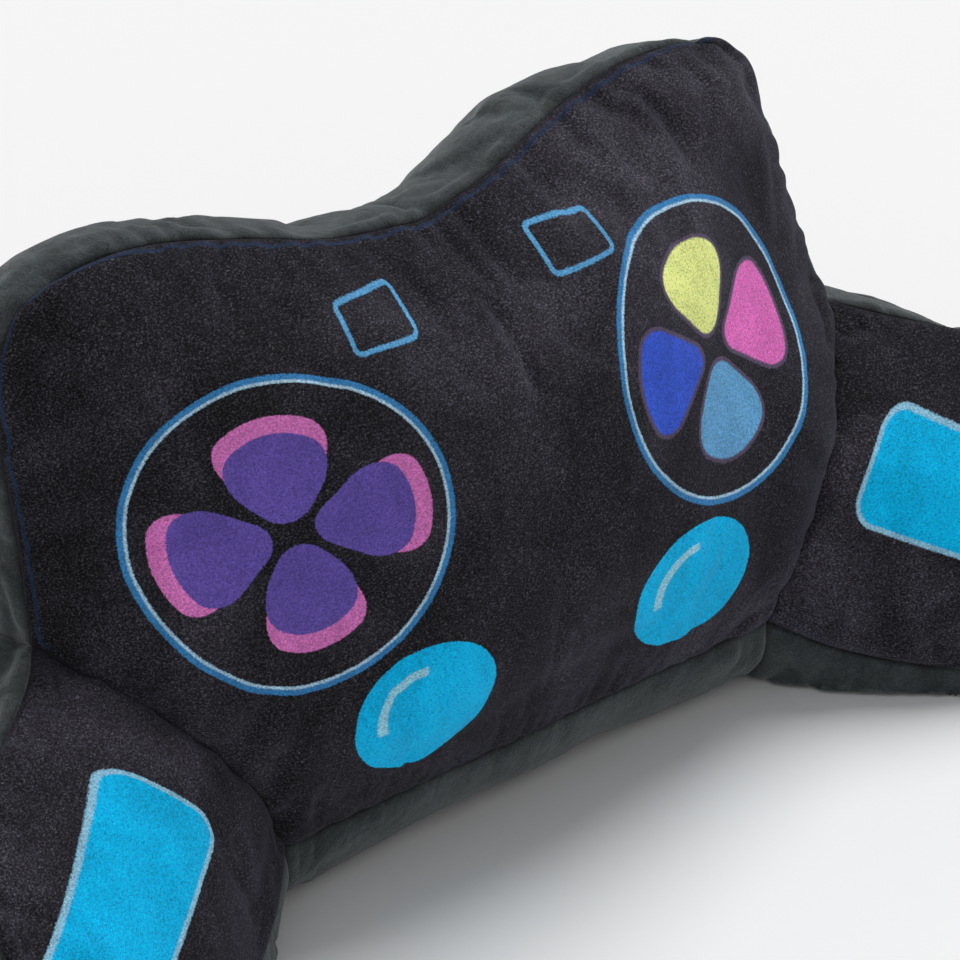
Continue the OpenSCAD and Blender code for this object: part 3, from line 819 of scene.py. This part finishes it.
def hexed(text):
    """A #rrggbb colour as linear light."""
    parts = [int(text[i:i + 2], 16) / 255 for i in (1, 3, 5)]
    return [p / 12.92 if p <= 0.04045 else ((p + 0.055) / 1.055) ** 2.4 for p in parts] + [1.0]


# ---------- prints ----------
BLACK = "#1c1b20"
RING_BLUE = "#3c88c4"
PALE_BLUE = "#bfe0f2"
CYAN = "#00c4ff"
VIOLET = "#6c59b4"
PINK = "#e47fcb"
OUTLINE_VIOLET = "#5d5068"
SQUARE_BLUE = "#5fa9dc"
HIGHLIGHT = "#a8e4fa"
PATCH_EDGE = "#9ad2ee"
DARK_LINE = "#22344f"

# The prints are laid out in millimetres across and up their panels
DIAL = {"at": (146, 178), "radii": (81.5, 84.5), "right_in": 14, "right_up": 4}
RING_WIDTH = 4.6
SQUARE = {"at": (66, 267), "half": (20.5, 12.5), "turn": 3, "round": 4.5, "slant": 0.22}
LINE = 2.4
OVAL = {"at": (92, 61), "radii": (43, 35.5), "highlight": 0.64}
# Buttons in the dial: nearest and farthest from its centre as shares of its radius, and half of the
# angle between their sides
UPRIGHT = (0.085, 0.75, 42)
LEVEL = (0.18, 0.85, 35)
BUTTON_ROUND = 0.2
# How much the pink under each violet button shows, and the middle of a button's rounded end
PINK_SHOWS = 0.11
END_MIDDLE = 0.26
RIGHT_COLOURS = {"top": "#f0fa98", "foot": "#6cb0e2", "outer": "#ea74c6", "inner": "#3a5fdc"}


def turned(x, y, degrees):
    c, s = math.cos(math.radians(degrees)), math.sin(math.radians(degrees))
    return x * c + y * s, y * c - x * s


def button(along, across, near, far, angle):
    """Distance to a rounded three-cornered button whose narrow end points to the dial's centre."""
    c, s, r = math.cos(math.radians(angle)), math.sin(math.radians(angle)), BUTTON_ROUND
    tip = near - r * (1 / s - 1)
    side = (along - tip) * s
    one = (across * c - side + r).most(0.0)
    other = (across * -c - side + r).most(0.0)
    end = (length_of(along - END_MIDDLE, across) - (far - END_MIDDLE - r)).most(0.0)
    return (one * one + other * other + end * end).math("SQRT") - r


def rounded_box(x, y, half, corner):
    a = (x.size() - (half[0] - corner)).most(0.0)
    b = (y.size() - (half[1] - corner)).most(0.0)
    return length_of(a, b) - corner


def paint_dials(s, x, up, right):
    """Both dials: rings, the left one's violet buttons over pink, the right one's in four colours."""
    radius = DIAL["radii"][1]
    u = (x.size() - DIAL["at"][0] + right * DIAL["right_in"]) / DIAL["radii"][0]
    v = (up - DIAL["at"][1] - right * DIAL["right_up"]) / DIAL["radii"][1]
    ring = (length_of(u, v) - 1.0) * radius
    s.paint(RING_BLUE, ((ring + RING_WIDTH / 2).size() - RING_WIDTH / 2).inside(0.7))
    s.paint(PALE_BLUE, ((ring + RING_WIDTH * 0.84).size() - RING_WIDTH * 0.17).inside(0.8), 0.9)
    left = right.math("MULTIPLY_ADD", -1.0, 1.0)
    upright, level = (v.size(), u, UPRIGHT), (u.size(), v, LEVEL)
    for along, across, (near, far, angle) in (upright, level):
        pink = button(along, across, near + PINK_SHOWS, far, angle) * radius
        violet = button(along, across, near, far - PINK_SHOWS, angle) * radius
        s.paint(PINK, pink.inside(0.6) * left)
        s.paint(VIOLET, violet.inside(0.6) * left)
    places = ((v, upright, 1, "top"), (v, upright, -1, "foot"),
              (u, level, 1, "outer"), (u, level, -1, "inner"))
    for axis, (along, across, (near, far, angle)), side, colour in places:
        part = right * (axis * -side).inside(0.02)
        shape = button(along, across, near, far, angle) * radius
        s.paint(OUTLINE_VIOLET, shape.inside(0.8) * part)
        s.paint(RIGHT_COLOURS[colour], (shape + LINE).inside(1.2) * part)


def paint_square(s, x, up):
    """The slanted outline of a square on each side."""
    b = up - SQUARE["at"][1]
    side = (x * -1.0).inside(0.02) * 2.0 - 1.0
    a, b = turned(x.size() - SQUARE["at"][0] - b * side * SQUARE["slant"], b, SQUARE["turn"])
    line = rounded_box(a, b, SQUARE["half"], SQUARE["round"])
    s.paint(SQUARE_BLUE, ((line + LINE / 2).size() - LINE / 2).inside(0.7))


def paint_oval(s, x, up, right):
    """A blue oval with a curved highlight on each side."""
    u = (x.size() - OVAL["at"][0]) / OVAL["radii"][0]
    v = (up - OVAL["at"][1]) / OVAL["radii"][1]
    reach = length_of(u, v)
    s.paint(CYAN, ((reach - 1.0) * OVAL["radii"][1]).inside(0.6))
    side = u * (right * 2.0 - 1.0)
    stroke = ((reach - OVAL["highlight"]).size() * OVAL["radii"][1] - LINE).inside(0.6)
    s.paint(HIGHLIGHT, stroke * (side + 0.02).inside(0.06) * (v * -1.0 - 0.18).inside(0.06), 0.95)


# Corners of the arms' patch: along the arm and up
PATCH = [(182, 103), (203, 151), (320, 99), (292, 58)]
PATCH_ROUND = 13.0


def polygon(x, y, corners, corner):
    """Distance to a rounded convex outline whose corners run clockwise."""
    total = None
    for (ax, ay), (bx, by) in zip(corners, corners[1:] + corners[:1]):
        span = math.hypot(bx - ax, by - ay)
        nx, ny = (ay - by) / span, (bx - ax) / span
        gap = (x * nx + y * ny - (ax * nx + ay * ny) + corner).most(0.0)
        total = gap * gap if total is None else total + gap * gap
    return total.math("SQRT") - corner


# ---------- materials ----------
def pile(s, rest, knit, depth):
    """Bump of a short knitted pile: rows of loops under fine hair."""
    rows = s.wave(rest, knit, "DIAGONAL", 3.0)
    loops = s.cells(rest, knit * 1.9)
    hair = s.noise(s.scaled(rest, (1, 1, 0.6)), knit * 3.2, 3.0, 0.7)
    return s.bump(rows * 0.25 + loops * 0.5 + hair * 0.7, depth)


def printed_plush(name, paint):
    """Short brushed pile, with a print that is slightly frayed along its outlines."""
    s = Shader(name, BLACK)
    rest = s.attribute("rest")
    x, up, edge = s.axes(s.attribute("place"))
    fray = s.noise(rest, 900, 2.0)
    fray2 = s.noise(s.scaled(rest, (1, 1, -1)), 860, 2.0)
    x, up = x + (fray - 0.5) * 1.6, up + (fray2 - 0.5) * 1.6
    speck = s.noise(s.scaled(rest, (1, 1, 1.3)), 760, 3.0, 0.8)
    brushed = s.noise(s.scaled(rest, (1, 1, 0.5)), 34, 4.0, 0.6, 0.6)
    # Painted sheen: broad lighter patches at random places, standing in for light catching the brushed
    # pile
    sheen_patches = s.noise(rest, 8, 2.0, 0.5, 0.4)
    s.paint("#4c4953", (sheen_patches * 5.0 - 2.3).clamped(), 0.5)
    s.paint("#66646c", (speck * 5.0 - 2.55).clamped(), 0.3)
    s.shade(((speck - 0.5) * 4.2 + 1.0).most(0.15))
    s.shade(brushed * 0.8 + 0.6)
    paint(s, x, up, edge)
    s.shade(((speck - 0.5) * 2.6 + 1.0).most(0.2))
    s.shade(brushed * 0.8 + 0.6)
    # Painted shade: the colour darkens to 0.4 of itself at a seam, easing out over 4 mm, as shade in the
    # seam's groove
    s.shade((edge * 0.25).clamped() * 0.6 + 0.4)
    soft = s.bump(brushed, 0.0012, 0.5)
    normal = pile(s, rest, 620, 0.0006)
    s.tree.links.new(soft, normal.node.inputs["Normal"])
    return s.finish(normal, 0.85, sheen=0.22, sheen_rough=0.35, sheen_tint="#b9b4cf", specular=0.12)


def front_print(s, x, up, edge):
    """The front panel's prints. right is 1 on the right half and 0 on the left."""
    right = (x * -1.0).inside(0.02)
    line = ((edge - 5.5).size() - 1.3).inside(1.2) * (up * -1.0 + 150).inside(8)
    s.paint(DARK_LINE, line, 0.8)
    paint_dials(s, x, up, right)
    paint_square(s, x, up)
    paint_oval(s, x, up, right)


def arm_print(s, x, up, edge):
    patch = polygon(x, up, PATCH, PATCH_ROUND)
    s.paint(PATCH_EDGE, patch.inside(0.7))
    s.paint(CYAN, (patch + LINE).inside(0.7))


def grey_plush():
    """Longer crushed pile, with no print."""
    s = Shader("grey_plush", "#303436")
    rest = s.attribute("rest")
    edge = s.axes(s.attribute("place"))[2]
    brushed = s.noise(s.scaled(rest, (1, 0.7, 1)), 26, 4.0, 0.55, 0.8)
    crushed = s.noise(s.scaled(rest, (1, 0.6, 1)), 120, 4.0, 0.6, 0.8)
    speck = s.noise(s.scaled(rest, (1, 0.8, 1.2)), 700, 3.0, 0.8)
    s.paint("#4a5052", (brushed * 2.6 - 0.8).clamped(), 0.8)
    s.shade((crushed - 0.5) * 1.1 + 1.0)
    s.shade(((speck - 0.5) * 2.4 + 1.0).most(0.3))
    # Painted shade: the colour darkens to half at a seam, easing out over about 3.3 mm, as shade in the
    # seam's groove
    s.shade((edge * 0.3).clamped() * 0.5 + 0.5)
    deep = s.bump(brushed * 1.5 + crushed * 0.6, 0.0022, 0.7)
    hair = s.noise(s.scaled(rest, (1, 0.7, 1)), 1300, 3.0, 0.7)
    normal = s.bump(hair + speck * 0.5, 0.0007, 0.9, deep)
    return s.finish(normal, 0.85, sheen=0.55, sheen_rough=0.4, sheen_tint="#dfe6e8", specular=0.12)


def woven(name, colour, pitch, rough, sheen=0.2):
    """Plain weave, in the object's own coordinates."""
    s = Shader(name, colour)
    node = s.tree.nodes.new("ShaderNodeTexCoord")
    where = node.outputs["Object"]
    across = s.wave(where, 0.314 / pitch, "X")
    up = s.wave(where, 0.314 / pitch, "Z")
    weave = (across - up).size()
    s.shade(weave * 0.5 + 0.6)
    s.shade(s.noise(where, 160, 3.0) * 0.5 + 0.75)
    return s.finish(s.bump(weave, 0.0002), rough, sheen=sheen, specular=0.3)


def metal():
    s = Shader("nickel", "#a9a9ac")
    where = s.tree.nodes.new("ShaderNodeTexCoord").outputs["Object"]
    drawn = s.noise(s.scaled(where, (0.08, 1, 1)), 4000, 3.0, 0.6)
    worn = s.noise(where, 300, 3.0)
    s.shade(worn * 0.3 + 0.8)
    return s.finish(s.bump(drawn, 0.00004, 0.5), worn * 0.25 + 0.2, specular=0.5, metallic=1.0)


def moulded():
    s = Shader("moulded_teeth", "#131316")
    where = s.tree.nodes.new("ShaderNodeTexCoord").outputs["Object"]
    fine = s.noise(where, 2500, 2.0)
    s.shade(fine * 0.3 + 0.85)
    return s.finish(s.bump(fine, 0.00003), fine * 0.15 + 0.28, specular=0.5)


front_material = printed_plush("front_print", front_print)
arm_material = printed_plush("arm_print", arm_print)
grey_material = grey_plush()
tape_material = woven("zip_tape", "#26262a", 0.0006, 0.8)
label_material = woven("label_satin", "#e4e2dc", 0.0003, 0.5, 0.4)
metal_material = metal()
teeth_material = moulded()

# ---------- stitches of the zip and the folded label ----------
SIDES = 6


def make_stitches():
    """Two rows of lockstitch along each zip tape, as short rounded stitches in one piece."""
    low, high = box_mm("zip_tape_lower")
    top = box_mm("zip_tape_upper")[1][2]
    pitch, length, width, proud = 3.2, 2.5, 0.5, 0.35
    ring = np.linspace(0, 2 * math.pi, SIDES, endpoint=False)
    shares_along = np.array([0.0, 0.12, 0.5, 0.88, 1.0])
    swell_along = np.array([0.3, 0.8, 1.0, 0.8, 0.3])
    points, faces = [], []
    for z in (low[2] + 1.5, low[2] + 4.5, top - 1.5, top - 4.5):
        for x in np.arange(low[0] + 3, high[0] - 3, pitch):
            first = sum(len(p) for p in points)
            rows = [np.stack([0 * ring + x + length * t, high[1] + proud * w * np.cos(ring),
                              z + 0.5 * width * w * np.sin(ring)], 1)
                    for t, w in zip(shares_along, swell_along)]
            points.append(np.vstack(rows))
            for r in range(len(rows) - 1):
                for k in range(SIDES):
                    a, b = first + SIDES * r + k, first + SIDES * r + (k + 1) % SIDES
                    faces.append([a, b, b + SIDES, a + SIDES])
    piece = make_mesh("zip_stitches", np.vstack(points), np.array(faces))
    piece.data.materials.append(woven("stitch_thread", "#3d3f44", 0.0004, 0.7))
    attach(piece, "back")


def make_label():
    """A blank satin label folded in half at its foot, with a slight curl."""
    low, high = box_mm("care_label")
    height = high[2] - low[2]
    drop = np.linspace(0, 1, 13)
    front = np.stack([low[1] + 0.2 + 0.5 * drop ** 2, high[2] - height * drop], 1)
    back = np.stack([high[1] + 0.9 * drop[::-1] ** 2, low[2] + 0.2 + (height - 0.6) * drop], 1)
    profile = even(np.vstack([front, back]), 44)
    across = np.linspace(low[0], high[0], 33)
    curl = 0.5 * np.sin((across - low[0]) / (high[0] - low[0]) * 2.4) ** 2
    grid = np.zeros((len(profile), len(across), 3))
    grid[..., 0] = across
    hang = np.clip((high[2] - profile[:, 1]) / height, 0, 1)[:, None]
    grid[..., 1] = profile[:, :1] + curl * hang
    grid[..., 2] = profile[:, 1:]
    piece = make_mesh("folded_label", grid.reshape(-1, 3), grid_faces(*grid.shape[:2]))
    shell = piece.modifiers.new("Thickness", "SOLIDIFY")
    shell.thickness = 0.25 * MM
    shell.offset = 0
    piece.data.materials.append(label_material)
    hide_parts("care_label")
    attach(piece, "back")


# ---------- pieces on the back's body, and the arms' covers left unattached ---
# Plane across an arm's root
ROOT_OUT = Vector((0.79, 0, -0.613))

make_stitches()
make_label()
for name, cover in covers.items():
    arm_side = name.split("_arm_")[0] if "_arm_" in name else None
    printed = name in PRINTED
    material = grey_material
    if printed:
        material = arm_material if arm_side else front_material
    cover.data.materials.append(material)
    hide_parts(name)
    if arm_side and "outer" in name:
        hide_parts(arm_side + "_arm_fill")
    if name == "back_panel":
        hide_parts("back_fill")
    if arm_side:
        side = 1 if arm_side == "right" else -1
        corner = Vector((side * BASE_HALF, -SEAM_TO_MIDDLE, SEAM_LIFT)) * MM
        out = Vector((side * ROOT_OUT.x, 0, ROOT_OUT.z))
        arm_side + "_arm"
        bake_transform(cover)
    else:
        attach(cover, "back")

NODE_MATERIALS = {"zip_tape_upper": tape_material, "zip_tape_lower": tape_material,
                  "zip_teeth_upper": teeth_material, "zip_teeth_lower": teeth_material,
                  "zip_top_stop": metal_material, "zip_bottom_stop": metal_material,
                  "zip_slider": metal_material, "zip_pull": metal_material}
for node, material in NODE_MATERIALS.items():
    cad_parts[node].data.materials.clear()
    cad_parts[node].data.materials.append(material)


# ---------- stage, light and camera ----------
# Azimuth and elevation in degrees, strength, and spread in degrees
KEY_LIGHT = (120, 56, 2.4, 35)
FILL_LIGHT = (-20, 45, 0.2, 90)
WORLD_STRENGTH = 0.36
FLOOR_HALF = 30000


def make_floor():
    corners = np.array([[-1, -1, 0], [1, -1, 0], [1, 1, 0], [-1, 1, 0]], float) * FLOOR_HALF
    floor = make_mesh("floor", corners, np.array([[0, 1, 2, 3]]))
    s = Shader("floor", "#f2f2f2")
    where = s.tree.nodes.new("ShaderNodeTexCoord").outputs["Object"]
    grain = s.noise(where, 40, 2.0)
    floor.data.materials.append(s.finish(s.bump(grain, 0.00001), 0.9, specular=0.0))


def sun(name, azimuth, elevation, energy, spread):
    """A soft light from a direction: azimuth 0 is from the front, 90 from the right."""
    light = bpy.data.lights.new(name, "SUN")
    light.energy = energy
    light.angle = math.radians(spread)
    lamp = bpy.data.objects.new(name, light)
    bpy.context.scene.collection.objects.link(lamp)
    a, e = math.radians(azimuth), math.radians(elevation)
    towards = Vector((math.sin(a) * math.cos(e), -math.cos(a) * math.cos(e), math.sin(e)))
    lamp.rotation_euler = towards.to_track_quat("Z", "Y").to_euler()


def make_world():
    world = bpy.data.worlds.new("studio")
    bpy.context.scene.world = world
    world.use_nodes = True
    background = world.node_tree.nodes["Background"]
    background.inputs["Color"].default_value = (1, 1, 1, 1)
    background.inputs["Strength"].default_value = WORLD_STRENGTH


def make_camera():
    camera = bpy.data.objects.new("camera", bpy.data.cameras.new("camera"))
    bpy.context.scene.collection.objects.link(camera)
    camera.location = CAMERA_AT
    camera.rotation_euler = (math.pi / 2 - CAMERA_DOWN, 0, -CAMERA_TURN)
    camera.data.lens = CAMERA_LENS
    camera.data.sensor_width = 36
    camera.data.clip_end = 100
    bpy.context.scene.camera = camera


make_floor()
make_world()
sun("key", *KEY_LIGHT)
sun("fill", *FILL_LIGHT)
make_camera()
bpy.context.scene.view_settings.view_transform = "Standard"
